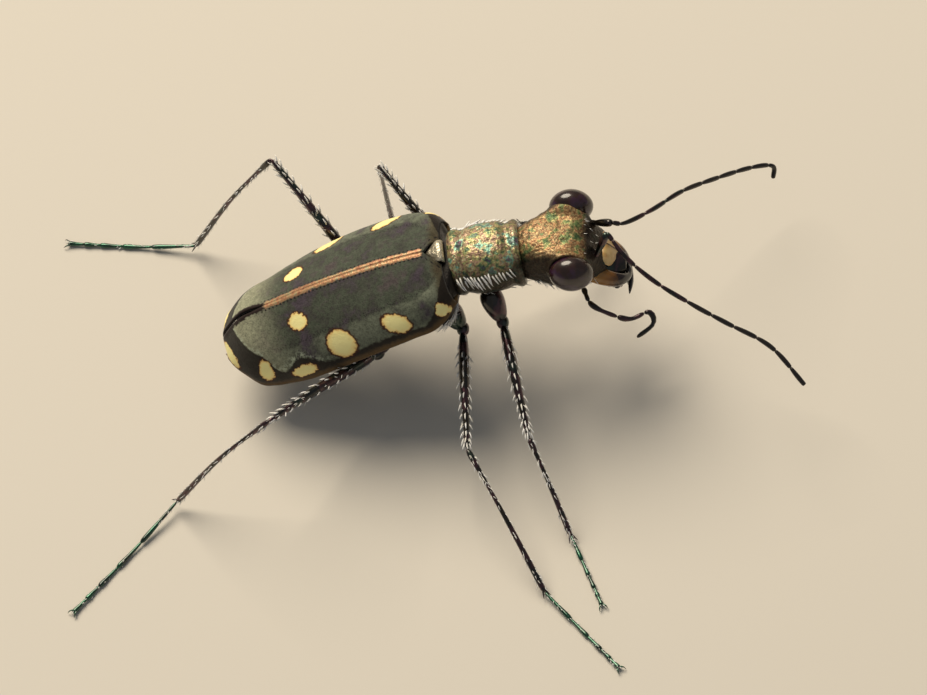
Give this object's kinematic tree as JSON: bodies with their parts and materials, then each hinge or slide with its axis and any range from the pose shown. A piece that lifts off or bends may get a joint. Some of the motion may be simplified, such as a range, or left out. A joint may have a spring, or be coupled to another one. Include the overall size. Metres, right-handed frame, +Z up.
{
  "type": "tiger beetle",
  "caption": "Still life-size model of a spotted tiger beetle standing on the floor with its legs spread and feelers forward, for display.",
  "frame": {"origin": "middle of the beetle's box on the floor it stands on", "axes": "+X the way the beetle faces, +Y its left side, +Z up from the floor"},
  "size_m": [0.0298, 0.0228, 0.0073],
  "materials": {
    "velvet": "velvety dark olive-grey wing case with cream spots and a coppery seam",
    "bronze": "finely wrinkled metallic cuticle, coppery bronze to green",
    "belly": "smooth dark cuticle with a blue-green and coppery sheen",
    "eye": "glossy dark purple-brown faceted eye",
    "ivory": "smooth pale yellow horn, dark at the teeth",
    "leg": "glossy dark metallic cuticle with coppery and green reflections"
  },
  "bodies": {
    "root": {"abdomen": "belly", "antenna_left_scape": "leg", "antenna_left_stem": "leg", "antenna_left_tip": "leg", "antenna_right_scape": "leg", "antenna_right_stem": "leg", "antenna_right_tip": "leg", "elytron_left": "velvet", "elytron_right": "velvet", "eye_left": "eye", "eye_right": "eye", "fore_left_coxa": "leg", "fore_left_femur": "leg", "fore_left_tarsus": "leg", "fore_left_tibia": "leg", "fore_right_coxa": "leg", "fore_right_femur": "leg", "fore_right_tarsus": "leg", "fore_right_tibia": "leg", "head": "bronze", "hind_left_coxa": "leg", "hind_left_femur": "leg", "hind_left_tarsus": "leg", "hind_left_tibia": "leg", "hind_right_coxa": "leg", "hind_right_femur": "leg", "hind_right_tarsus": "leg", "hind_right_tibia": "leg", "labial_palp_left": "leg", "labial_palp_right": "leg", "labrum": "ivory", "mandible_left": "ivory", "mandible_right": "ivory", "maxillary_palp_left": "leg", "maxillary_palp_right": "leg", "mesothorax": "belly", "metathorax": "belly", "middle_left_coxa": "leg", "middle_left_femur": "leg", "middle_left_tarsus": "leg", "middle_left_tibia": "leg", "middle_right_coxa": "leg", "middle_right_femur": "leg", "middle_right_tarsus": "leg", "middle_right_tibia": "leg", "prothorax": "bronze", "scutellum": "bronze"}
  },
  "joints": []
}
